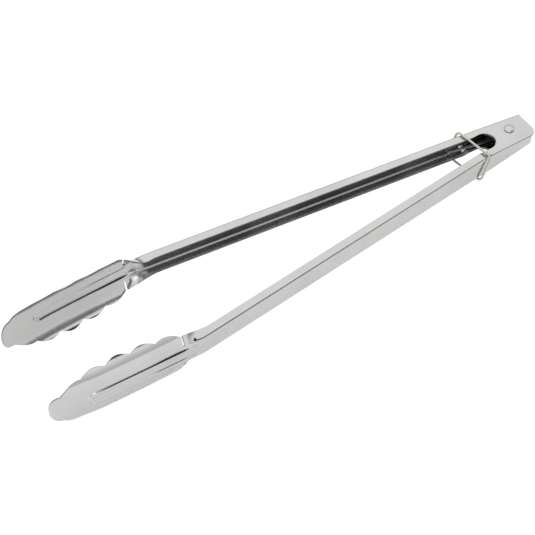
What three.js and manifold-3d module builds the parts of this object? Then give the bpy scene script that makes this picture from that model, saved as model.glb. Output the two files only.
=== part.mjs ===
// Spring loaded kitchen tongs: two identical pressed stainless arms on one rivet, a torsion spring
// between their ears, and a bent wire ring that slides over both arms to hold them shut.
//
// Units are millimetres, +Z is up and runs along the rivet. The tongs lie on their side with the hinge
// towards +X and the scalloped heads towards -X, standing open as the spring and the ring leave them.
// An arm is drawn in its own frame first: s runs from the rivet towards the tip, and the offset runs
// outward from the middle of the tongs. Each arm has one wide ear outside and one nested ear inside, so
// the second arm is the first one turned over. The origin ends up at the bottom centre of the object.

import * as THREE from 'three';
import { mergeVertices } from 'three/addons/utils/BufferGeometryUtils.js';
import Module from 'manifold-3d';

const wasm = await Module();
wasm.setup();

// ---- driving dimensions -------------------------------------------------------------------------

const SHEET = 0.9;                        // thickness of the pressed steel
const OPEN_HALF_ANGLE = THREE.MathUtils.degToRad(6.14); // each arm's back to the centre line, open
const RUNNING_GAP = 0.3;                  // gap between faces that slide on each other

// arm channel
const BACK_OFFSET = 11.2;                 // rivet axis to the outer face of the channel's back
const CHANNEL_HALF = 8.2;                 // half the outer width of the channel
const FLANGE_DEPTH = 7.0;                 // depth of the channel's flanges
const FOLD_RADIUS = 2.0;                  // mid-sheet radius of the channel's folds

// ears at the hinge
const EAR_END_X = 15.3;                   // rivet axis to the square end of the ears
const EAR_BACK_AT_END = 8.8;              // half width at the end, on the folded side
const WIDE_EAR_EDGE = 13.6;               // rivet axis to the free edge of the wide ear
const NESTED_EAR_EDGE = 6.3;              // rivet axis to the free edge of the nested ear
const EAR_CORNER_RADIUS = 6.0;
const EAR_LENGTH = 26.5;                  // rivet axis to where the ears narrow to the flanges
const TAPER_START = 25;                   // the back starts to lean in towards the ear end here
const NOTCH_CENTRE = [-22, -0.3];
const NOTCH_RADIUS = 7.7;
const JOGGLE = [29.5, 34];                // the nested side steps in between these

// head
const HEAD_START = 285;
const TIP = 390.7;                        // rivet axis to the tip, along the arm
const NECK_SLOT = [294.9, 299.0];         // the relief cut between flange and wing
const NECK_SLOT_ROOT = 6.4;               // distance of the cut's round root from the middle plane
const FIRST_NOTCH = 383.2;                // notch between the tip lobe and the first scallop
const SCALLOP_NOTCHES = [383.2, 367.5, 350.3, 333.1, 315.8, 298.6];
const NOTCH_HALF_WIDTHS = [13.2, 18.8, 20.3, 20.3, 19.3, 16.5];
const SCALLOP_RISE = 2.2;                 // how far a lobe stands past the line of its notches
const TIP_SHAPE = 2.3;                    // exponent of the blunt tip's superellipse
const BEAD_END = 366.5;                   // end of the pressed bead that carries on from the channel
const BEAD_HALF_WIDTH = [6.4, 5.0];       // at the neck and near the bead's end
const BEAD_STEP = [1.6, 1.0];             // height of the bead at the neck and near its end
const WING_FLAT_HALF = 10;                // the wings are flat out to here and then curl inward
const WING_CURL_RADIUS = 15;

// rivet
const RIVET_RADIUS = 2.4;
const RIVET_HOLE_RADIUS = 2.5;
const RIVET_HEAD_RADIUS = 3.75;
const RIVET_HEAD_HEIGHT = 1.55;

// spring
const SPRING_WIRE = 1.8;
const COIL_RADIUS = 5.2;
const COIL_HALF_HEIGHT = 4.2;
const COIL_TURNS = 4;                     // whole turns, and the half turn from leg to leg
const LEG_LENGTH = 44;

// ring
const RING_WIRE = 1.8;
const RING_HALF_LENGTH = 16.9;            // to the middle of the wire
const RING_BAR_HEIGHT = 9.45;             // height of the two bars from the middle plane
const RING_TOP_X = -31.3;
const RING_BOTTOM_X = -39.5;
const RING_BEND = 3.4;
const RING_YAW = THREE.MathUtils.degToRad(8);     // the loose ring sits askew about the vertical
const RING_BUTT_GAP = 0.5;                // the wire's two ends almost meet in the bottom bar

// ---- materials ----------------------------------------------------------------------------------

const polishedSteel = new THREE.MeshStandardMaterial({ color: 0xc9cbcd, roughness: 0.18, metalness: 1 });
const rivetSteel = new THREE.MeshStandardMaterial({ color: 0xd4d4d2, roughness: 0.3, metalness: 1 });
const springSteel = new THREE.MeshStandardMaterial({ color: 0x8f9091, roughness: 0.35, metalness: 1 });
const nickelWire = new THREE.MeshStandardMaterial({ color: 0xcac3b4, roughness: 0.3, metalness: 1 });

// ---- solids -------------------------------------------------------------------------------------

function toSolid(geometry) {
  geometry.deleteAttribute('normal');
  geometry.deleteAttribute('uv');
  const merged = mergeVertices(geometry, 1e-4);
  return new wasm.Manifold(new wasm.Mesh({
    numProp: 3,
    vertProperties: Float32Array.from(merged.attributes.position.array),
    triVerts: Uint32Array.from(merged.index.array),
  }));
}

function toGeometry(solid) {
  const mesh = solid.getMesh();
  const geometry = new THREE.BufferGeometry();
  geometry.setAttribute('position', new THREE.BufferAttribute(mesh.vertProperties, 3));
  geometry.setIndex(new THREE.BufferAttribute(mesh.triVerts, 1));
  geometry.computeVertexNormals();
  return geometry;
}

// A prism of the shape, centred on its own plane.
function prism(shape, height, curveSegments = 12) {
  const geometry = new THREE.ExtrudeGeometry(shape, { depth: height, bevelEnabled: false, curveSegments });
  return geometry.translate(0, 0, -height / 2);
}

function wire(path, diameter, steps) {
  const section = new THREE.Shape().absarc(0, 0, diameter / 2, 0, Math.PI * 2);
  return new THREE.ExtrudeGeometry(section, { steps, extrudePath: path, curveSegments: 4, bevelEnabled: false });
}

// Closes a grid of mid-sheet points into a solid sheet of even thickness.
function sheetSolid(rows, thickness) {
  const count = rows[0].length;
  const skins = [[], []];
  rows.forEach((row, i) => {
    row.forEach((point, j) => {
      const along = rows[Math.min(i + 1, rows.length - 1)][j].clone().sub(rows[Math.max(i - 1, 0)][j]);
      const across = row[Math.min(j + 1, count - 1)].clone().sub(row[Math.max(j - 1, 0)]);
      const normal = along.cross(across).normalize();
      skins[0].push(point.clone().addScaledVector(normal, thickness / 2));
      skins[1].push(point.clone().addScaledVector(normal, -thickness / 2));
    });
  });
  const positions = skins.flat().flatMap((p) => [p.x, p.y, p.z]);
  const back = skins[0].length;
  const faces = [];
  const quad = (a, b, c, d) => faces.push(a, b, c, a, c, d);
  const last = rows.length - 1;
  for (let i = 0; i < last; i++) {
    for (let j = 0; j < count - 1; j++) {
      const a = i * count + j;
      quad(a, a + count, a + count + 1, a + 1);
      quad(back + a, back + a + 1, back + a + count + 1, back + a + count);
    }
    const low = i * count;
    const high = low + count - 1;
    quad(low, back + low, back + low + count, low + count);
    quad(high, high + count, back + high + count, back + high);
  }
  for (let j = 0; j < count - 1; j++) {
    const end = last * count + j;
    quad(j, j + 1, back + j + 1, back + j);
    quad(end, back + end, back + end + 1, end + 1);
  }
  const geometry = new THREE.BufferGeometry();
  geometry.setAttribute('position', new THREE.Float32BufferAttribute(positions, 3));
  geometry.setIndex(faces);
  return toSolid(geometry);
}

// ---- arm shape ----------------------------------------------------------------------------------

const { lerp, smoothstep, clamp } = THREE.MathUtils;

// A bend of the back towards the middle: the slope grows from 0 at start to its full value at end.
function bend(s, start, end, slope) {
  if (s < start) return 0;
  if (s < end) return (slope * (s - start) ** 2) / (2 * (end - start));
  return slope * (s - (start + end) / 2);
}

// Offset of the outer face of the back, or of the head's bead.
function backOffset(s) {
  const endS = -EAR_END_X;
  const endOffset = EAR_BACK_AT_END + EAR_END_X * Math.sin(OPEN_HALF_ANGLE);
  if (s < TAPER_START) return lerp(endOffset, BACK_OFFSET, (s - endS) / (TAPER_START - endS));
  return BACK_OFFSET - bend(s, HEAD_START, 303, 0.14) - bend(s, 352, TIP, 0.344);
}

// Half width of the head's scalloped rim.
function rimHalfWidth(s) {
  if (s > FIRST_NOTCH) {
    const t = (s - FIRST_NOTCH) / (TIP - FIRST_NOTCH);
    return Math.max(NOTCH_HALF_WIDTHS[0] * (1 - t ** TIP_SHAPE) ** (1 / TIP_SHAPE), 0.8);
  }
  const k = clamp(SCALLOP_NOTCHES.findIndex((notch) => notch <= s), 1, SCALLOP_NOTCHES.length - 1);
  const t = (s - SCALLOP_NOTCHES[k]) / (SCALLOP_NOTCHES[k - 1] - SCALLOP_NOTCHES[k]);
  const line = lerp(NOTCH_HALF_WIDTHS[k], NOTCH_HALF_WIDTHS[k - 1], t);
  return line + SCALLOP_RISE * 4 * t * (1 - t);
}

// One half of the channel's section, from the free edge of the flange to the middle of the back.
// Each point is [depth below the back's outer face, distance from the middle plane].
function channelSection(half, depth) {
  const skin = SHEET / 2;
  const points = [[depth, half - skin], [lerp(depth, FOLD_RADIUS + skin, 0.5), half - skin]];
  for (let k = 0; k <= 3; k++) {
    const angle = (k / 3) * (Math.PI / 2);
    const inset = FOLD_RADIUS * (1 - Math.sin(angle));
    points.push([skin + inset, half - skin - FOLD_RADIUS * (1 - Math.cos(angle))]);
  }
  points.push([skin, (half - FOLD_RADIUS) / 2], [skin, 0]);
  return points;
}

// How far the wing curls inward at this distance from the middle plane.
function wingCurl(z) {
  const out = Math.max(z - WING_FLAT_HALF, 0);
  return WING_CURL_RADIUS - Math.sqrt(WING_CURL_RADIUS ** 2 - out ** 2);
}

// One half of the head's section: the curled wing, the step of the bead, and the bead's top.
function headSection(s) {
  const skin = SHEET / 2;
  const rim = rimHalfWidth(s);
  const t = clamp((s - NECK_SLOT[1]) / (BEAD_END - NECK_SLOT[1]), 0, 1);
  const fade = 1 - smoothstep(s, BEAD_END - 5, BEAD_END + 2);
  const bead = Math.min(lerp(BEAD_HALF_WIDTH[0], BEAD_HALF_WIDTH[1], t), rim * 0.4);
  const foot = Math.min(bead + 1, rim * 0.7);
  const step = skin + lerp(BEAD_STEP[0], BEAD_STEP[1], Math.min(t * 2, 1)) * fade;
  const points = [];
  for (let k = 0; k <= 4; k++) {
    const z = lerp(rim, foot, (k / 4) ** 1.3);
    points.push([step + wingCurl(z), z]);
  }
  points.push([lerp(step, skin, 0.7), bead], [skin, bead * 0.75], [skin, 0]);
  return points;
}

// Half the section at s, blended across the neck, from the free edge to the middle of the back.
function halfSection(s, wide) {
  const nestedHalf = CHANNEL_HALF - SHEET - RUNNING_GAP;
  const half = wide ? CHANNEL_HALF : lerp(nestedHalf, CHANNEL_HALF, smoothstep(s, JOGGLE[0], JOGGLE[1]));
  const earEdge = wide ? WIDE_EAR_EDGE : NESTED_EAR_EDGE;
  const earDepth = backOffset(s) + (earEdge + s * Math.sin(OPEN_HALF_ANGLE)) / Math.cos(OPEN_HALF_ANGLE);
  const channel = channelSection(half, s <= EAR_LENGTH ? earDepth : FLANGE_DEPTH);
  const head = headSection(Math.max(s, NECK_SLOT[1]));
  const blend = clamp((s - NECK_SLOT[0]) / (NECK_SLOT[1] - NECK_SLOT[0]), 0, 1);
  return channel.map(([d, z], k) => [lerp(d, head[k][0], blend), lerp(z, head[k][1], blend)]);
}

// The whole section right across the strip, with the wide ear's side first.
function section(s) {
  const mirrored = halfSection(s, false).slice(0, -1).reverse().map(([d, z]) => [d, -z]);
  return [...halfSection(s, true), ...mirrored];
}

// Stations along the arm: few on the straight channel, close together on the scallops and the tip.
function stations() {
  const list = [-19, -4, 12, TAPER_START, EAR_LENGTH, EAR_LENGTH + 0.2, JOGGLE[0], 31, 32.5, JOGGLE[1]];
  list.push(120, 200, HEAD_START, 291, NECK_SLOT[0], 297);
  const perScallop = 6;
  for (let k = SCALLOP_NOTCHES.length - 1; k > 0; k--) {
    for (let m = 0; m < perScallop; m++) {
      list.push(lerp(SCALLOP_NOTCHES[k], SCALLOP_NOTCHES[k - 1], m / perScallop));
    }
  }
  for (let m = 0; m <= 6; m++) list.push(lerp(FIRST_NOTCH, TIP, Math.sin((m / 6) * (Math.PI / 2))));
  return list.sort((a, b) => a - b);
}

// ---- cuts ---------------------------------------------------------------------------------------

// The square end of an ear with its rounded free corner: everything to be trimmed away above or below
// the middle plane.
function earEndCut(edge, level) {
  const r = Math.min(EAR_CORNER_RADIUS, edge * 0.8);
  const shape = new THREE.Shape();
  shape.moveTo(40, 30);
  shape.lineTo(EAR_END_X, 30);
  shape.lineTo(EAR_END_X, r - edge);
  shape.absarc(EAR_END_X - r, r - edge, r, 0, -Math.PI / 2, true);
  shape.lineTo(EAR_END_X - r, -30);
  shape.lineTo(40, -30);
  return toSolid(prism(shape, 20).translate(0, 0, 10 * level));
}

// The round relief notch where the ears narrow down to the flanges, open towards the heads.
function earNotchCut() {
  const [cx, cy] = NOTCH_CENTRE;
  const shape = new THREE.Shape();
  shape.moveTo(-34, cy - NOTCH_RADIUS);
  shape.lineTo(cx, cy - NOTCH_RADIUS);
  shape.absarc(cx, cy, NOTCH_RADIUS, -Math.PI / 2, Math.PI / 2, false);
  shape.lineTo(-34, cy + NOTCH_RADIUS);
  return toSolid(prism(shape, 40));
}

function rivetHoleCut() {
  const shape = new THREE.Shape().absarc(0, 0, RIVET_HOLE_RADIUS, 0, Math.PI * 2);
  return toSolid(prism(shape, 40, 24));
}

// The two slots at the neck, one from each edge of the strip, with a round root.
function neckSlotCut(side) {
  const radius = (NECK_SLOT[1] - NECK_SLOT[0]) / 2;
  const root = NECK_SLOT_ROOT + radius;
  const shape = new THREE.Shape();
  shape.moveTo(-NECK_SLOT[1], 30);
  shape.lineTo(-NECK_SLOT[1], root);
  shape.absarc(-NECK_SLOT[1] + radius, root, radius, Math.PI, Math.PI * 2, false);
  shape.lineTo(-NECK_SLOT[0], 30);
  const geometry = prism(shape, 60, 6).rotateX((Math.PI / 2) * side);
  return toSolid(geometry);
}

// ---- pieces -------------------------------------------------------------------------------------

// The arm on the +Y side, with its wide ear on top.
function armGeometry() {
  const rows = stations().map((s) => section(s).map(([depth, z]) => (
    new THREE.Vector3(-s, backOffset(s) - depth, z))));
  let arm = sheetSolid(rows, SHEET);
  arm = arm.subtract(neckSlotCut(1)).subtract(neckSlotCut(-1));
  arm = toSolid(toGeometry(arm).rotateZ(-OPEN_HALF_ANGLE));
  arm = arm.subtract(earEndCut(WIDE_EAR_EDGE, 1)).subtract(earEndCut(NESTED_EAR_EDGE, -1));
  return toGeometry(arm.subtract(earNotchCut()).subtract(rivetHoleCut()));
}

function armA() {
  return new THREE.Mesh(armGeometry(), polishedSteel);
}

// The same pressing turned over, so that its wide ear is underneath.
function armB() {
  return new THREE.Mesh(armGeometry().rotateX(Math.PI), polishedSteel);
}

// The pin with its two domed heads, turned about Z.
function pivotRivet() {
  const seat = CHANNEL_HALF + 0.1;
  const dome = (sign) => Array.from({ length: 7 }, (_, k) => {
    const angle = (k / 6) * (Math.PI / 2);
    return new THREE.Vector2(
      RIVET_HEAD_RADIUS * Math.cos(angle), sign * (seat + 0.35 + (RIVET_HEAD_HEIGHT - 0.35) * Math.sin(angle)));
  });
  const profile = [
    ...dome(-1).reverse(),
    new THREE.Vector2(RIVET_HEAD_RADIUS, -seat),
    new THREE.Vector2(RIVET_RADIUS, -seat),
    new THREE.Vector2(RIVET_RADIUS, seat),
    new THREE.Vector2(RIVET_HEAD_RADIUS, seat),
    ...dome(1),
  ];
  profile[0].x = 0;
  profile[profile.length - 1].x = 0;
  return new THREE.Mesh(new THREE.LatheGeometry(profile, 32).rotateX(Math.PI / 2), rivetSteel);
}

// The leg on arm A is low, the leg on arm B is high, and the coil climbs between them.
function torsionSpring() {
  const legEnd = BACK_OFFSET - SHEET - SPRING_WIRE / 2 - RUNNING_GAP;
  const legPoint = (side, t) => {
    const s = t * LEG_LENGTH;
    const offset = lerp(COIL_RADIUS, legEnd, t);
    const [sin, cos] = [Math.sin(OPEN_HALF_ANGLE), Math.cos(OPEN_HALF_ANGLE)];
    return new THREE.Vector3(-s * cos + offset * sin, side * (s * sin + offset * cos), -side * COIL_HALF_HEIGHT);
  };
  const points = [];
  for (let k = 5; k > 0; k--) points.push(legPoint(1, k / 5));
  const sweep = Math.PI * 2 * (COIL_TURNS + 0.5);
  const pieces = COIL_TURNS * 12 + 6;
  for (let k = 0; k <= pieces; k++) {
    const t = k / pieces;
    const angle = Math.PI / 2 - sweep * t;
    points.push(new THREE.Vector3(
      COIL_RADIUS * Math.cos(angle), COIL_RADIUS * Math.sin(angle), lerp(-COIL_HALF_HEIGHT, COIL_HALF_HEIGHT, t)));
  }
  for (let k = 1; k <= 5; k++) points.push(legPoint(-1, k / 5));
  const path = new THREE.CatmullRomCurve3(points, false, 'centripetal');
  return new THREE.Mesh(wire(path, SPRING_WIRE, 100), springSteel);
}

// A long rounded loop of wire that leans back, its ends almost meeting under the arms.
function lockRing() {
  const lean = Math.atan2(RING_TOP_X - RING_BOTTOM_X, 2 * RING_BAR_HEIGHT);
  const reach = RING_BAR_HEIGHT / Math.cos(lean);
  const flatY = RING_HALF_LENGTH - RING_BEND;
  const flatZ = reach - RING_BEND;
  const points = [new THREE.Vector2(RING_BUTT_GAP / 2, -reach)];
  const corner = (cy, cz, from) => {
    for (let k = 0; k <= 4; k++) {
      const angle = from + (k / 4) * (Math.PI / 2);
      points.push(new THREE.Vector2(cy + RING_BEND * Math.cos(angle), cz + RING_BEND * Math.sin(angle)));
    }
  };
  points.push(new THREE.Vector2(flatY / 2, -reach));
  corner(flatY, -flatZ, -Math.PI / 2);
  corner(flatY, flatZ, 0);
  points.push(new THREE.Vector2(0, reach));
  corner(-flatY, flatZ, Math.PI / 2);
  corner(-flatY, -flatZ, Math.PI);
  points.push(new THREE.Vector2(-flatY / 2, -reach), new THREE.Vector2(-RING_BUTT_GAP / 2, -reach));
  const path = new THREE.CatmullRomCurve3(points.map((p) => new THREE.Vector3(0, p.x, p.y)), false, 'centripetal');
  const geometry = wire(path, RING_WIRE, 72);
  geometry.rotateY(lean);
  geometry.rotateZ(RING_YAW);
  geometry.translate((RING_TOP_X + RING_BOTTOM_X) / 2, 0, 0);
  return new THREE.Mesh(geometry, nickelWire);
}

// ---- assembly -----------------------------------------------------------------------------------

const pieces = {
  arm_a: armA(),
  arm_b: armB(),
  pivot_rivet: pivotRivet(),
  torsion_spring: torsionSpring(),
  lock_ring: lockRing(),
};

const tongs = new THREE.Group();
for (const [name, mesh] of Object.entries(pieces)) {
  mesh.name = name;
  tongs.add(mesh);
}
const box = new THREE.Box3().setFromObject(tongs);
tongs.position.set(-(box.min.x + box.max.x) / 2, -(box.min.y + box.max.y) / 2, -box.min.z);

export default tongs;
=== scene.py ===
import math

import bpy
import numpy as np
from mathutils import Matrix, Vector
from mathutils.geometry import delaunay_2d_cdt


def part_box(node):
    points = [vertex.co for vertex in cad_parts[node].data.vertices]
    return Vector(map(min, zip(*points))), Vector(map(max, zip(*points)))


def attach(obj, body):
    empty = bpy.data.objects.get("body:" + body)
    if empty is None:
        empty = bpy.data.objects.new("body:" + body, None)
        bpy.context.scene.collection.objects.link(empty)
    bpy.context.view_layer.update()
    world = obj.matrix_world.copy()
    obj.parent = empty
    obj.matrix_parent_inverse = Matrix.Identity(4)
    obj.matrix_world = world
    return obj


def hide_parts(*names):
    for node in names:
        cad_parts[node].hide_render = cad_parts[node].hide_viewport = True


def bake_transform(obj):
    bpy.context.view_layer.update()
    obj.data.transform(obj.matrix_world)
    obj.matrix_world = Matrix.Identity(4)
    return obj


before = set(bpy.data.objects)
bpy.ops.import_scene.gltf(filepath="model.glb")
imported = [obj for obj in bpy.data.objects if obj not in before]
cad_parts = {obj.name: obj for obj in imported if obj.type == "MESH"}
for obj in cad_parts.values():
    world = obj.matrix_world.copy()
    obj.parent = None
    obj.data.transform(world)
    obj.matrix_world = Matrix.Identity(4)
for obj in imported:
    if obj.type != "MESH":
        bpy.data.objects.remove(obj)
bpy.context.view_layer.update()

MM = 0.001

# Everything is drawn in millimetres from the rivet's middle. s runs from the rivet along an arm to its
# tip, o outward from the middle of the tongs, z along the rivet. t is the width of the sheet laid flat.

low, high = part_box("pivot_rivet")
PIVOT = (low + high) / 2

# ---- dimensions ---------------------------------------------------------------------------------

SHEET = 0.9
SKIN = SHEET / 2
LEAN = math.radians(6.14)
SIN, COS = math.sin(LEAN), math.cos(LEAN)

BACK = 11.2  # rivet axis to the outer face of the channel's back
HALF = 8.2  # half the channel's outer width
NESTED_HALF = 7.0  # the same on the side that nests inside the other arm
FLANGE_DEPTH = 7.0
FOLD = 1.5  # radius of the folds, half way through the sheet
FLAT = HALF - SKIN - FOLD  # t where the fold starts
FOLD_END = FLAT + FOLD * math.pi / 2
FLANGE_EDGE = FOLD_END + FLANGE_DEPTH - SKIN - FOLD

EAR_END = 15.3  # rivet axis to the square end of the ears
EAR_BACK_AT_END = 8.8
TAPER = 25.0  # s where the back starts to lean in towards the ear's end
NOTCH = (-22.0, -0.3)
NOTCH_R = 7.7
WIDE_EDGE = 13.6  # rivet axis to the free edge of the wide ear
NESTED_EDGE = 6.3
HOLE_R = 2.5

HEAD = (281, 303)  # the channel turns into the head between these
TIP = 390.7
WING_START = 299.0
SLOT_START = 297.9  # the relief slot between flange and wing
SLOT_ROOT = 9.2
SCALLOPS = (383.2, 367.5, 350.3, 333.1, 315.8, 298.6)  # the notches between the rim's lobes
SCALLOP_HALF = (12.2, 18.8, 20.3, 20.3, 19.3, 16.5)  # half width of the head at each notch
SCALLOP_RISE = 2.2
TIP_SHAPE = 2.3  # exponent of the blunt tip's superellipse
WING_FLAT = 10.0  # the wings are flat out to here, then curl inward
WING_CURL = 15.0
BEAD_END = 366.6
BEAD_INNER = 4.35
COIL_HALF = 4.2  # half the height of the spring's coil
RING_YAW = 8.0  # the loose ring sits askew


def smooth(x, a, b):
    u = np.clip((x - a) / (b - a), 0, 1)
    return u * u * (3 - 2 * u)


def bend(s, start, end, slope):
    u = np.clip(s - start, 0, end - start)
    return slope * (u * u / (2 * (end - start)) + np.maximum(s - end, 0))


def back_offset(s):
    at_end = EAR_BACK_AT_END + EAR_END * SIN
    ear = at_end + (BACK - at_end) * (s + EAR_END) / (TAPER + EAR_END)
    arm = BACK - bend(s, 285, 303, 0.14) - bend(s, 352, TIP, 0.344)
    return np.where(s < TAPER, ear, arm)


# ---- the pressed sheet --------------------------------------------------------------------------

def channel_section(s, t):
    """Depth below the back and z of the channel's sheet, half way through its thickness.

    On the t < 0 side the ear steps in, so that it nests inside the other arm's wide ear."""
    half = np.where(t < 0, NESTED_HALF + (HALF - NESTED_HALF) * smooth(s, 29.5, 34), HALF)
    flat = half - SKIN - FOLD
    a = np.abs(t)
    angle = np.clip((a - FLAT) / FOLD, 0, math.pi / 2)
    depth = SKIN + FOLD * (1 - np.cos(angle)) + np.maximum(a - FOLD_END, 0)
    z = np.where(a < FLAT, a * flat / FLAT, flat + FOLD * np.sin(angle))
    return depth, np.sign(t) * z


def head_section(s, t):
    """The same for the head: wings that curl inward, and a pressed rib around a panel down the middle."""
    early = 1 - smooth(s, 299, 336)
    tip = smooth(s, 362, 386)
    height = (1.3 + 0.5 * early) * (1 - tip)
    fade = 0.6 + 0.25 * early
    width = BEAD_INNER + fade
    centre = BEAD_END - width
    inside = width - np.where(s > centre, np.hypot(s - centre, t), np.abs(t))
    bead = smooth(inside, -fade, fade) - 0.5 * smooth(inside, 1.8, 2.6)
    a = np.abs(t)
    turn = np.maximum(a - WING_FLAT, 0) / WING_CURL
    z = np.sign(t) * (np.minimum(a, WING_FLAT) + WING_CURL * np.sin(turn))
    dish = 0.006 * np.minimum(a, WING_FLAT) ** 2 * (1 - tip)
    return SKIN - 0.12 * tip + height * (1 - bead) + dish + WING_CURL * (1 - np.cos(turn)), z


def arm_surface(s, t):
    d0, z0 = channel_section(s, t)
    d1, z1 = head_section(s, t)
    w = smooth(s, *HEAD)
    return s, back_offset(s) - (d0 * (1 - w) + d1 * w), z0 * (1 - w) + z1 * w


def to_world(s, o, z, side=1):
    x = -s * COS + o * SIN
    y = side * (s * SIN + o * COS)
    return np.stack([x, y, z], axis=-1)


def sheet_points(flat):
    """Points of the middle of arm A's sheet and its outward unit normals there."""
    s, t = flat[:, 0], flat[:, 1]
    step = 0.04

    def at(ds, dt):
        return to_world(*arm_surface(s + ds, t + dt))

    along = at(step, 0) - at(-step, 0)
    across = at(0, step) - at(0, -step)
    normal = np.cross(along, across)
    normal /= np.linalg.norm(normal, axis=1)[:, None]
    return at(0, 0), normal


# ---- outline of the sheet laid flat -------------------------------------------------------------

def rim(s):
    """Half width of the scalloped rim, laid flat."""
    half = half_width(s)
    return half if half < WING_FLAT else WING_FLAT + WING_CURL * math.asin((half - WING_FLAT) / WING_CURL)


def half_width(s):
    """Half width of the scalloped rim as it stands, after the curl."""
    if s > SCALLOPS[0]:
        u = (s - SCALLOPS[0]) / (TIP - SCALLOPS[0])
        return SCALLOP_HALF[0] * max(1 - u ** TIP_SHAPE, 0) ** (1 / TIP_SHAPE)
    k = next((i for i, notch in enumerate(SCALLOPS) if notch <= s), len(SCALLOPS) - 1)
    k = max(k, 1)
    u = (s - SCALLOPS[k]) / (SCALLOPS[k - 1] - SCALLOPS[k])
    line = SCALLOP_HALF[k] + (SCALLOP_HALF[k - 1] - SCALLOP_HALF[k]) * u
    return line + SCALLOP_RISE * 4 * u * (1 - u)


def strip_edge(s):
    """Half width of the flat strip: it widens towards the head."""
    return FLANGE_EDGE + 3.4 * smooth(s, 274, 297)


def flat_of(x, y):
    """Flat sheet coordinates of a point on the ear's side, from its place across the tongs."""
    s = -x * COS + y * SIN
    o = x * SIN + y * COS
    return float(s), float(FOLD_END + back_offset(s) - o - SKIN - FOLD)


def arc(cx, cy, r, a0, a1, count):
    return [(cx + r * math.cos(a), cy + r * math.sin(a)) for a in np.radians(np.linspace(a0, a1, count))]


def half_outline(ear_edge, ear_corner):
    """The edge of one half of the sheet, from the tip to the ear's end, for t > 0."""
    points = []
    for u in np.linspace(0, math.pi / 2, 26)[:-1]:
        s = SCALLOPS[0] + (TIP - SCALLOPS[0]) * math.cos(u) ** 0.8
        points.append((s, rim(s)))
    for k in range(len(SCALLOPS) - 1):
        last = k == len(SCALLOPS) - 2
        for u in np.linspace(0, 1, 20)[:-1]:
            s = SCALLOPS[k] + (SCALLOPS[k + 1] - SCALLOPS[k]) * u
            if not last or s > WING_START + 1.2:
                points.append((s, rim(s)))
    corner = rim(WING_START)
    points += [(WING_START + 0.35, corner + 0.05), (WING_START, corner - 0.4)]
    # the relief slot: across the wing's end, round its root and back out along the flange's end
    root = (WING_START - SLOT_START) / 2
    for t in np.linspace(corner - 1.2, SLOT_ROOT + 0.4, 7):
        points.append((WING_START, t))
    points += arc(WING_START - root, SLOT_ROOT, root, 0, -180, 13)
    edge = strip_edge(297)
    for t in np.linspace(SLOT_ROOT + 0.4, edge - 0.4, 6):
        points.append((SLOT_START, t))
    points.append((SLOT_START - 0.25, edge - 0.1))
    for s in np.linspace(SLOT_START - 0.6, 274, 18):
        points.append((s, strip_edge(s)))
    for s in np.linspace(268, 36, 40):
        points.append((s, FLANGE_EDGE))
    for s, o in ((32.5, 4.2), (29.5, 4.24), (26.5, 4.45)):
        points.append(flat_of(-s * COS + o * SIN, s * SIN + o * COS))
    # the notch under the ring and the ear's free edge, drawn in the plane of the ear
    end = EAR_END - 0.1
    if ear_edge < NOTCH_R:
        low_angle = math.degrees(math.asin((-ear_edge - NOTCH[1]) / NOTCH_R))
        points += [flat_of(x, y) for x, y in arc(*NOTCH, NOTCH_R, 88, low_angle, 26)]
        start = NOTCH[0] + NOTCH_R * math.cos(math.radians(low_angle)) + 1
    else:
        points += [flat_of(x, y) for x, y in arc(*NOTCH, NOTCH_R, 88, -90, 28)]
        points += [flat_of(-23.5, -8.0), flat_of(-25.2, -8.0)]
        points += [flat_of(x, y) for x, y in arc(-25.6, -10.0, 2.0, 90, 180, 6)]
        points += [flat_of(x, y) for x, y in arc(-25.6, -11.6, 2.0, 180, 270, 6)]
        start = -23.0
    for x in np.linspace(start, end - ear_corner - 1, 9):
        points.append(flat_of(x, -ear_edge))
    points += [flat_of(x, y) for x, y in arc(end - ear_corner, ear_corner - ear_edge, ear_corner, -90, 0, 12)]
    # the square end, up the side, round the fold and across the back
    top = points[-1][1]
    side_steps = np.linspace(top, FOLD_END, 6)[1:]
    fold_steps = np.linspace(FOLD_END, FLAT, 7)[1:]
    back_steps = np.linspace(FLAT, 0, 6)[1:]
    for t in np.concatenate([side_steps, fold_steps, back_steps]):
        s = -end
        depth, _ = channel_section(np.array([s]), np.array([t]))
        for _ in range(4):
            s = (float(back_offset(s) - depth[0]) * SIN - end) / COS
        points.append((s, float(t)))
    return points


def resample(loop, longest):
    """Adds points so that no edge of the loop is longer than allowed."""
    out = []
    for (s0, t0), (s1, t1) in zip(loop, loop[1:] + loop[:1]):
        count = max(1, math.ceil(math.hypot(s1 - s0, t1 - t0) / longest(s0)))
        out += [(s0 + (s1 - s0) * k / count, t0 + (t1 - t0) * k / count) for k in range(count)]
    return out


def outline_loops():
    """The sheet's edge and its two rivet holes, as closed loops of (s, t)."""
    nested = half_outline(NESTED_EDGE, 5.0)[1:-1]
    whole = half_outline(WIDE_EDGE, 6.0) + [(s, -t) for s, t in reversed(nested)]
    loops = [resample(whole, lambda s: 6.2 if 45 < s < 270 else 0.9)]
    for sign in (1, -1):
        angles = np.radians(np.arange(0, 360, 15))
        hole = [flat_of(HOLE_R * math.cos(a), HOLE_R * math.sin(a)) for a in angles]
        loops.append([(s, sign * t) for s, t in hole])
    return [np.array(loop) for loop in loops]


def inside_loops(points, loops):
    """True for each point inside the outline and outside the holes."""
    inside = np.zeros(len(points), bool)
    x, y = points[:, 0], points[:, 1]
    for loop in loops:
        x0, y0 = loop[:, 0], loop[:, 1]
        x1, y1 = np.roll(x0, -1), np.roll(y0, -1)
        for a, b, c, d in zip(x0, y0, x1, y1):
            if b == d:
                continue
            crosses = (b > y) != (d > y)
            inside ^= crosses & (x < (c - a) * (y - b) / (d - b) + a)
    return inside


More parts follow.
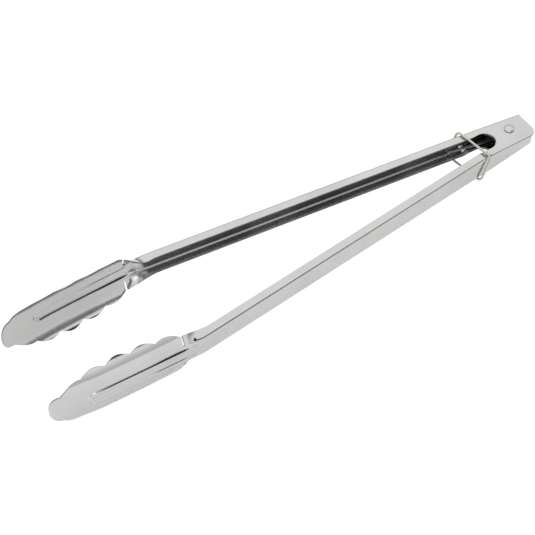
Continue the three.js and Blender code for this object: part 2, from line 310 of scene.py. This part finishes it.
def grid_points(loops):
    """Points inside the sheet: sparse on the straight arm, dense where it is shaped."""
    lengthwise = np.concatenate([
        np.arange(-16, 45, 1.5), np.arange(45, 270, 6.0), np.arange(270, 281, 2.0),
        np.arange(281, 304, 0.8), np.arange(304, 358, 1.25), np.arange(358, 370, 0.55),
        np.arange(370, TIP, 1.1)])
    fold = np.linspace(FLAT, FOLD_END, 8)
    points = []
    for s in lengthwise:
        if s < HEAD[0]:
            across = np.concatenate([[0, 1.9, 3.8, 5.2], fold, np.arange(FOLD_END + 0.8, 34, 1.6)])
        else:
            ribs = np.arange(2.0, 6.2, 0.25)
            across = np.concatenate([[0, 1], ribs, np.arange(6.5, 9.4, 0.6), np.arange(9.8, 27, 0.8)])
        for t in across:
            points.append((s, t))
            if t > 0:
                points.append((s, -t))
    points = np.array(points)
    points = points[inside_loops(points, loops)]
    edge = np.concatenate([np.array(resample([tuple(p) for p in loop], lambda s: 0.6)) for loop in loops])
    keep = np.ones(len(points), bool)
    for start in range(0, len(points), 500):
        block = points[start:start + 500]
        apart = block[:, None, :] - edge[None, :, :]
        keep[start:start + 500] = np.hypot(apart[..., 0], apart[..., 1]).min(axis=1) > 0.33
    return points[keep]


def inward(loop, loops):
    """Unit vectors at a loop's points that lead into the sheet, in the flat."""
    tangent = np.roll(loop, -1, axis=0) - np.roll(loop, 1, axis=0)
    tangent /= np.linalg.norm(tangent, axis=1)[:, None]
    normal = np.stack([-tangent[:, 1], tangent[:, 0]], axis=1)
    probe = inside_loops(loop + normal * 0.05, loops)
    return normal if probe.mean() > 0.5 else -normal


def new_object(name, vertices, faces, normals, uvs, material, edges=None):
    mesh = bpy.data.meshes.new(name)
    place = np.array(vertices) * MM + np.array(PIVOT)
    mesh.from_pydata([tuple(p) for p in place], [], [tuple(int(i) for i in f) for f in faces])
    mesh.update()
    mesh.shade_smooth()
    layer = mesh.uv_layers.new(name="flat")
    index = np.zeros(len(mesh.loops), int)
    mesh.loops.foreach_get("vertex_index", index)
    layer.data.foreach_set("uv", np.array(uvs, float)[index].ravel())
    if normals is not None:
        mesh.normals_split_custom_set_from_vertices([tuple(n) for n in normals])
    if edges is not None:
        mesh.attributes.new("edge", "FLOAT", "POINT").data.foreach_set("value", np.array(edges, float))
    mesh.materials.append(material)
    obj = bpy.data.objects.new(name, mesh)
    bpy.context.scene.collection.objects.link(obj)
    return obj


def arm_sheet():
    """Arm A's sheet: vertices, faces, normals, texture coordinates, and which vertices are on a cut edge."""
    loops = outline_loops()
    corners = np.concatenate(loops)
    edges, start = [], 0
    for loop in loops:
        count = len(loop)
        edges += [(start + i, start + (i + 1) % count) for i in range(count)]
        start += count
    coords = np.concatenate([corners, grid_points(loops)])
    flat, _, triangles, origin, _, _ = delaunay_2d_cdt([Vector(p) for p in coords], edges, [], 0, 1e-5, True)
    flat = np.array([tuple(p) for p in flat])
    triangles = np.array(triangles)
    triangles = triangles[inside_loops(flat[triangles].mean(axis=1), loops)]
    place = {old: new for new, olds in enumerate(origin) for old in olds}

    # the skins stop short of the edge, which is eased over
    ease = 0.14
    pulled = flat.copy()
    leads = [inward(loop, loops) for loop in loops]
    start = 0
    for loop, lead in zip(loops, leads):
        for i in range(len(loop)):
            pulled[place[start + i]] += ease * lead[i]
        start += len(loop)

    middle, normal = sheet_points(pulled)
    count = len(flat)
    vertices = [middle + SKIN * normal, middle - SKIN * normal]
    normals = [normal, -normal]
    uvs = [pulled, pulled]
    faces = list(triangles) + list(triangles[:, ::-1] + count)

    base, start = 2 * count, 0
    for loop, lead in zip(loops, leads):
        size = len(loop)
        rim_middle, rim_normal = sheet_points(loop)
        rim_inside, _ = sheet_points(loop + lead * 0.1)
        away = rim_middle - rim_inside
        away /= np.linalg.norm(away, axis=1)[:, None]
        rows = [np.array([place[start + i] for i in range(size)])]
        for k, across in enumerate((SKIN - ease, 0.0, ease - SKIN)):
            vertices.append(rim_middle + across * rim_normal)
            lift = away + rim_normal * (0.35, 0.0, -0.35)[k]
            normals.append(lift / np.linalg.norm(lift, axis=1)[:, None])
            uvs.append(loop)
            rows.append(base + k * size + np.arange(size))
        rows.append(rows[0] + count)
        base += 3 * size
        start += size
        every = np.concatenate(vertices)
        strip = []
        for a, b in zip(rows, rows[1:]):
            for i in range(size):
                j = (i + 1) % size
                strip.append((a[i], a[j], b[j], b[i]))
        first = every[list(strip[size])]
        facing = np.cross(first[1] - first[0], first[3] - first[0])
        if facing @ away[0] < 0:
            strip = [quad[::-1] for quad in strip]
        faces += strip
    edges = np.arange(sum(len(v) for v in vertices)) >= 2 * count
    return np.concatenate(vertices), faces, np.concatenate(normals), np.concatenate(uvs) * 0.01, edges


# ---- wire and turned pieces ---------------------------------------------------------------------

def spline(points, per_span):
    """A centripetal Catmull-Rom curve through the points."""
    p = [np.array(v, float) for v in points]
    p = [2 * p[0] - p[1]] + p + [2 * p[-1] - p[-2]]
    out = []
    for a, b, c, d in zip(p, p[1:], p[2:], p[3:]):
        ks = [0.0]
        for u, v in ((a, b), (b, c), (c, d)):
            ks.append(ks[-1] + max(np.linalg.norm(v - u), 1e-6) ** 0.5)
        for t in np.linspace(ks[1], ks[2], per_span, endpoint=False):
            def mix(u, v, i, j):
                return ((ks[j] - t) * u + (t - ks[i]) * v) / (ks[j] - ks[i])
            a1, a2, a3 = mix(a, b, 0, 1), mix(b, c, 1, 2), mix(c, d, 2, 3)
            out.append(mix(mix(a1, a2, 0, 2), mix(a2, a3, 1, 3), 1, 2))
    out.append(p[-2])
    return np.array(out)


def make_wire(name, path, radius, material, around=20):
    """A round wire along the path, its cut ends slightly rounded over."""
    tangent = np.gradient(path, axis=0)
    tangent /= np.linalg.norm(tangent, axis=1)[:, None]
    across = np.cross(tangent[0], [0.31, 0.2, 0.93])
    across /= np.linalg.norm(across)
    rings = []
    length = np.concatenate([[0], np.cumsum(np.linalg.norm(np.diff(path, axis=0), axis=1))])
    for i, direction in enumerate(tangent):
        across = across - (across @ direction) * direction
        across /= np.linalg.norm(across)
        rings.append((path[i], direction, across, radius, length[i]))
    caps = []
    for end, sign in ((rings[0], -1), (rings[-1], 1)):
        point, direction, side, _, at = end
        group = []
        for a in (30, 60, 80):
            lift = 0.35 * radius * math.sin(math.radians(a)) * sign
            size = radius * (1 - 0.35 * (1 - math.cos(math.radians(a))))
            group.append((point + direction * lift, direction, side, size, at))
        caps.append(group)
    rings = caps[0][::-1] + rings + caps[1]
    angles = np.linspace(0, 2 * math.pi, around, endpoint=False)
    vertices, uvs = [], []
    for point, direction, side, size, at in rings:
        other = np.cross(direction, side)
        for a in angles:
            vertices.append(point + size * (math.cos(a) * side + math.sin(a) * other))
            uvs.append((at * 0.01, a / (2 * math.pi) * radius * 0.06))
    faces = []
    for i in range(len(rings) - 1):
        for j in range(around):
            k = (j + 1) % around
            faces.append((i * around + j, i * around + k, (i + 1) * around + k, (i + 1) * around + j))
    faces.append(tuple(range(around))[::-1])
    faces.append(tuple(range((len(rings) - 1) * around, len(rings) * around)))
    return new_object(name, vertices, faces, None, uvs, material)


def make_turned(name, profile, material, around=64):
    """A body turned about the rivet's axis; the profile starts and ends on the axis."""
    vertices, uvs, faces = [(0, 0, profile[0][1])], [(0, 0)], []
    for r, z in profile[1:-1]:
        for a in np.linspace(0, 2 * math.pi, around, endpoint=False):
            vertices.append((r * math.cos(a), r * math.sin(a), z))
            uvs.append((r * 0.01 * math.cos(a), r * 0.01 * math.sin(a)))
    vertices.append((0, 0, profile[-1][1]))
    uvs.append((0, 0))
    last = len(vertices) - 1
    rows = len(profile) - 2
    for j in range(around):
        k = (j + 1) % around
        faces.append((0, 1 + k, 1 + j))
        for i in range(rows - 1):
            a, b = 1 + i * around, 1 + (i + 1) * around
            faces.append((a + j, a + k, b + k, b + j))
        end = 1 + (rows - 1) * around
        faces.append((end + j, end + k, last))
    return new_object(name, vertices, faces, None, uvs, material)


def rivet_profile():
    seat, radius, height = HALF + 0.08, 3.75, 1.55

    def head(sign):
        dome = [(radius * math.cos(a) ** 0.75, sign * (seat + 0.42 + (height - 0.44) * math.sin(a) ** 0.9))
                for a in np.radians(np.linspace(0, 88, 16))]
        return [(radius - 0.3, sign * seat), (radius - 0.06, sign * (seat + 0.18))] + dome

    upper = head(1)
    lower = head(-1)[::-1]
    pin = [(2.4, -seat + 0.02), (2.4, seat - 0.02)]
    return [(0, -(seat + height - 0.02))] + lower + pin + upper + [(0, seat + height - 0.02)]


def spring_path():
    coil, reach, turns = 5.2, 44.0, 4
    leg_end = BACK - SHEET - 0.9 - 0.3

    def leg(side, u):
        s, o = u * reach, coil + (leg_end - coil) * u
        return to_world(s, o, -side * COIL_HALF, side)

    points = [leg(1, u) for u in (1, 0.8, 0.6, 0.4, 0.2)]
    sweep = 2 * math.pi * (turns + 0.5)
    count = turns * 12 + 6
    for k in range(count + 1):
        u = k / count
        a = math.pi / 2 - sweep * u
        points.append(np.array([coil * math.cos(a), coil * math.sin(a), -COIL_HALF + 2 * COIL_HALF * u]))
    points += [leg(-1, u) for u in (0.2, 0.4, 0.6, 0.8, 1)]
    return spline(points, 4)


def ring_path():
    """The wire's middle: a long rounded loop that leans back, its ends almost meeting below."""
    top_x, bottom_x, bar, length, r, gap = -31.3, -39.5, 9.45, 16.9, 3.4, 0.5
    lean = math.atan2(top_x - bottom_x, 2 * bar)
    reach = bar / math.cos(lean)
    flat_y, flat_z = length - r, reach - r
    loop = [(gap / 2, -reach), (flat_y / 2, -reach)]
    loop += arc(flat_y, -flat_z, r, -90, 0, 7) + arc(flat_y, flat_z, r, 0, 90, 7)
    loop.append((0, reach))
    loop += arc(-flat_y, flat_z, r, 90, 180, 7) + arc(-flat_y, -flat_z, r, 180, 270, 7)
    loop += [(-flat_y / 2, -reach), (-gap / 2, -reach)]
    middle = (top_x + bottom_x) / 2
    points = [(middle + z * math.sin(lean), y, z * math.cos(lean)) for y, z in loop]
    yaw = math.radians(RING_YAW)
    turned = [(middle + (x - middle) * math.cos(yaw) - y * math.sin(yaw),
               (x - middle) * math.sin(yaw) + y * math.cos(yaw), z) for x, y, z in points]
    return spline(turned, 5)


# ---- materials ----------------------------------------------------------------------------------

def node(tree, kind, x, y, **values):
    made = tree.nodes.new(kind)
    made.location = (x, y)
    for key, value in values.items():
        setattr(made, key, value)
    return made


def metal(name, dark, light, rough, lines, wave, grain=1.0):
    """Bare metal: faint drawing or polishing lines along the sheet, patchy polish and a slight waviness."""
    material = bpy.data.materials.new(name)
    material.use_nodes = True
    tree = material.node_tree
    tree.nodes.clear()
    link = tree.links.new
    out = node(tree, "ShaderNodeOutputMaterial", 900, 0)
    shader = node(tree, "ShaderNodeBsdfPrincipled", 600, 0)
    shader.inputs["Metallic"].default_value = 1.0
    link(shader.outputs["BSDF"], out.inputs["Surface"])

    place = node(tree, "ShaderNodeTexCoord", -900, 0)
    stretch = node(tree, "ShaderNodeMapping", -700, 200)
    stretch.inputs["Scale"].default_value = (1.2, 60.0 * grain, 1.0)
    link(place.outputs["UV"], stretch.inputs["Vector"])
    streak = node(tree, "ShaderNodeTexNoise", -500, 200)
    streak.inputs["Scale"].default_value = 9.0
    streak.inputs["Detail"].default_value = 4.0
    streak.inputs["Roughness"].default_value = 0.6
    link(stretch.outputs["Vector"], streak.inputs["Vector"])

    patch = node(tree, "ShaderNodeTexNoise", -500, -100)
    patch.inputs["Scale"].default_value = 28.0
    patch.inputs["Detail"].default_value = 3.0
    link(place.outputs["Object"], patch.inputs["Vector"])

    tone = node(tree, "ShaderNodeValToRGB", 100, 250)
    tone.color_ramp.elements[0].position = 0.3
    tone.color_ramp.elements[0].color = (*dark, 1)
    tone.color_ramp.elements[1].position = 0.7
    tone.color_ramp.elements[1].color = (*light, 1)
    link(patch.outputs["Fac"], tone.inputs["Fac"])
    # the sheared edges of the sheet are painted near black: a painted dark reflection along the cut edges,
    # darker than the faces
    cut = node(tree, "ShaderNodeAttribute", 100, 450, attribute_name="edge")
    painted_edge_reflection = node(tree, "ShaderNodeMix", 400, 300, data_type="RGBA")
    # the near-black colour here is the painted dark reflection on the cut edges
    painted_edge_reflection.inputs["B"].default_value = (0.13, 0.13, 0.125, 1)
    link(cut.outputs["Fac"], painted_edge_reflection.inputs["Factor"])
    link(tone.outputs["Color"], painted_edge_reflection.inputs["A"])
    link(painted_edge_reflection.outputs["Result"], shader.inputs["Base Color"])

    both = node(tree, "ShaderNodeMix", -250, -50, data_type="FLOAT")
    both.inputs["Factor"].default_value = 0.45
    link(patch.outputs["Fac"], both.inputs["A"])
    link(streak.outputs["Fac"], both.inputs["B"])
    gloss = node(tree, "ShaderNodeMapRange", 100, -50)
    gloss.inputs["From Min"].default_value = 0.3
    gloss.inputs["From Max"].default_value = 0.7
    gloss.inputs["To Min"].default_value = rough[0]
    gloss.inputs["To Max"].default_value = rough[1]
    link(both.outputs["Result"], gloss.inputs["Value"])
    link(gloss.outputs["Result"], shader.inputs["Roughness"])

    slow = node(tree, "ShaderNodeTexNoise", -500, -400)
    slow.inputs["Scale"].default_value = 55.0
    slow.inputs["Detail"].default_value = 1.0
    link(place.outputs["Object"], slow.inputs["Vector"])
    wavy = node(tree, "ShaderNodeBump", 150, -350)
    wavy.inputs["Strength"].default_value = 1.0
    wavy.inputs["Distance"].default_value = wave * MM
    link(slow.outputs["Fac"], wavy.inputs["Height"])
    fine = node(tree, "ShaderNodeBump", 350, -300)
    fine.inputs["Strength"].default_value = 1.0
    fine.inputs["Distance"].default_value = lines * MM
    link(streak.outputs["Fac"], fine.inputs["Height"])
    link(wavy.outputs["Normal"], fine.inputs["Normal"])
    link(fine.outputs["Normal"], shader.inputs["Normal"])
    return material


polished = metal("polished_steel", (0.56, 0.56, 0.555), (0.62, 0.62, 0.615), (0.10, 0.17), 0.0006, 0.03)
rivet_steel = metal("rivet_steel", (0.56, 0.56, 0.56), (0.64, 0.64, 0.63), (0.16, 0.26), 0.001, 0.02, 0.2)
spring_steel = metal("spring_steel", (0.32, 0.32, 0.32), (0.42, 0.42, 0.41), (0.25, 0.38), 0.001, 0.01)
nickel_wire = metal("nickel_wire", (0.58, 0.55, 0.49), (0.66, 0.63, 0.57), (0.18, 0.28), 0.001, 0.01)


# ---- pieces -------------------------------------------------------------------------------------

points, faces, normals, uvs, edges = arm_sheet()
turn_over = np.array([1, -1, -1])
arm_a = new_object("arm_a_sheet", points, faces, normals, uvs, polished, edges)
arm_b = new_object("arm_b_sheet", points * turn_over, faces, normals * turn_over, uvs, polished, edges)
rivet = make_turned("rivet_turned", rivet_profile(), rivet_steel)
spring = make_wire("spring_coil", spring_path(), 0.9, spring_steel, 14)
ring = make_wire("ring_loop", ring_path(), 0.9, nickel_wire, 24)

for obj, body, stands_for, slot in (
        (arm_a, "arm_a", "arm_a", "polished_steel"),
        (arm_b, "arm_b", "arm_b", "polished_steel"),
        (rivet, "arm_a", "pivot_rivet", "rivet_steel"),
        (ring, "lock_ring", "lock_ring", "ring_wire")):
    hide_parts(stands_for)
    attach(obj, body)
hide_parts("torsion_spring")
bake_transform(spring)


# ---- floor, light and camera --------------------------------------------------------------------

scene = bpy.context.scene
scene.view_settings.view_transform = "Standard"
scene.view_settings.look = "None"
scene.view_settings.exposure = 0.0
scene.view_settings.gamma = 1.0

FLOOR_GLOW = 0.22
CEILING = 1.08
HORIZON_FRONT = 0.7
HORIZON_BACK = 0.35
GAP_Z = (0.62, 0.68, 0.93, 0.98)


def make_floor():
    """Plain white paper. Straight from the camera it is burnt out to white, as in a bright product shot."""
    size, drop = 3.0, -0.0004
    mesh = bpy.data.meshes.new("floor")
    mesh.from_pydata([(-size, -size, drop), (size, -size, drop), (size, size, drop), (-size, size, drop)],
                     [], [(0, 1, 2, 3)])
    floor = bpy.data.objects.new("floor", mesh)
    material = bpy.data.materials.new("pale_paper")
    material.use_nodes = True
    tree = material.node_tree
    shader = tree.nodes["Principled BSDF"]
    shader.inputs["Roughness"].default_value = 0.9
    shader.inputs["Specular IOR Level"].default_value = 0.0
    grain = node(tree, "ShaderNodeTexNoise", -500, 0)
    grain.inputs["Scale"].default_value = 40.0
    tone = node(tree, "ShaderNodeValToRGB", -300, 0)
    tone.color_ramp.elements[0].color = (0.86, 0.86, 0.86, 1)
    tone.color_ramp.elements[1].color = (0.9, 0.9, 0.9, 1)
    tree.links.new(grain.outputs["Fac"], tone.inputs["Fac"])
    tree.links.new(tone.outputs["Color"], shader.inputs["Base Color"])
    shader.inputs["Emission Color"].default_value = (1, 1, 1, 1)
    shader.inputs["Emission Strength"].default_value = FLOOR_GLOW
    white = node(tree, "ShaderNodeEmission", 0, -300)
    white.inputs["Strength"].default_value = 1.05
    seen = node(tree, "ShaderNodeLightPath", 0, 300)
    mix = node(tree, "ShaderNodeMixShader", 300, 0)
    out = tree.nodes["Material Output"]
    tree.links.new(seen.outputs["Is Camera Ray"], mix.inputs["Fac"])
    tree.links.new(shader.outputs["BSDF"], mix.inputs[1])
    tree.links.new(white.outputs["Emission"], mix.inputs[2])
    tree.links.new(mix.outputs["Shader"], out.inputs["Surface"])
    mesh.materials.append(material)
    scene.collection.objects.link(floor)


def make_world():
    """The studio: a big bright ceiling, a dimmer horizon, and a dark gap in front on the right."""
    world = bpy.data.worlds.new("studio")
    world.use_nodes = True
    scene.world = world
    tree = world.node_tree
    tree.nodes.clear()
    link = tree.links.new
    out = node(tree, "ShaderNodeOutputWorld", 1200, 0)
    background = node(tree, "ShaderNodeBackground", 1000, 0)
    link(background.outputs["Background"], out.inputs["Surface"])
    place = node(tree, "ShaderNodeTexCoord", -800, 0)
    axes = node(tree, "ShaderNodeSeparateXYZ", -600, 0)
    link(place.outputs["Generated"], axes.inputs["Vector"])

    def step(value, a, b, low_value, high_value, x, y):
        made = node(tree, "ShaderNodeMapRange", x, y, interpolation_type="SMOOTHSTEP")
        made.inputs["From Min"].default_value = a
        made.inputs["From Max"].default_value = b
        made.inputs["To Min"].default_value = low_value
        made.inputs["To Max"].default_value = high_value
        link(value, made.inputs["Value"])
        return made.outputs["Result"]

    def times(a, b, x, y):
        made = node(tree, "ShaderNodeMath", x, y, operation="MULTIPLY")
        link(a, made.inputs[0])
        link(b, made.inputs[1])
        return made.outputs["Value"]

    # ceiling and horizon
    front_to_back = step(axes.outputs["Y"], -0.6, 0.3, HORIZON_FRONT, HORIZON_BACK, -300, 300)
    rise = step(axes.outputs["Z"], 0.12, 0.62, 0.0, 1.0, -300, 100)
    sky = node(tree, "ShaderNodeMix", 0, 200, data_type="FLOAT")
    link(rise, sky.inputs["Factor"])
    link(front_to_back, sky.inputs["A"])
    sky.inputs["B"].default_value = CEILING
    # the dark gap: a band of heights, in front, on the right
    low_side = step(axes.outputs["Z"], GAP_Z[0], GAP_Z[1], 0.0, 1.0, -300, -100)
    high_side = step(axes.outputs["Z"], GAP_Z[2], GAP_Z[3], 1.0, 0.0, -300, -300)
    front = times(step(axes.outputs["Y"], -0.72, -0.67, 0.0, 1.0, -500, -500),
                  step(axes.outputs["Y"], -0.22, -0.05, 1.0, 0.0, -300, -500), -150, -500)
    right = step(axes.outputs["X"], -0.05, 0.18, 0.0, 1.0, -300, -700)
    gap = times(times(low_side, high_side, 0, -200), times(front, right, 0, -600), 200, -400)
    cover = step(gap, 0.0, 1.0, 1.0, 0.02, 400, -300)
    link(times(sky.outputs["Result"], cover, 700, 0), background.inputs["Strength"])
    background.inputs["Color"].default_value = (1.0, 1.0, 1.0, 1)


def make_light(name, location, target, size, energy):
    data = bpy.data.lights.new(name, "AREA")
    data.shape = "RECTANGLE"
    data.size, data.size_y = size
    data.energy = energy
    lamp = bpy.data.objects.new(name, data)
    lamp.location = location
    lamp.rotation_euler = (Vector(target) - Vector(location)).to_track_quat("-Z", "Y").to_euler()
    scene.collection.objects.link(lamp)


def make_camera():
    data = bpy.data.cameras.new("camera")
    data.sensor_width = 36.0
    data.lens = 98.2
    camera = bpy.data.objects.new("camera", data)
    eye = PIVOT + Vector((-549.0, -530.7, 757.5)) * MM
    aim = PIVOT + Vector((-212.47, -8.49, 0.0)) * MM
    camera.location = eye
    camera.rotation_euler = (aim - eye).to_track_quat("-Z", "Y").to_euler()
    data.clip_start = 0.01
    data.clip_end = 50
    scene.collection.objects.link(camera)
    scene.camera = camera


make_floor()
make_world()
make_light("top_softbox", (-0.5, -0.9, 1.6), (0, 0, 0), (1.2, 1.2), 2)
make_camera()
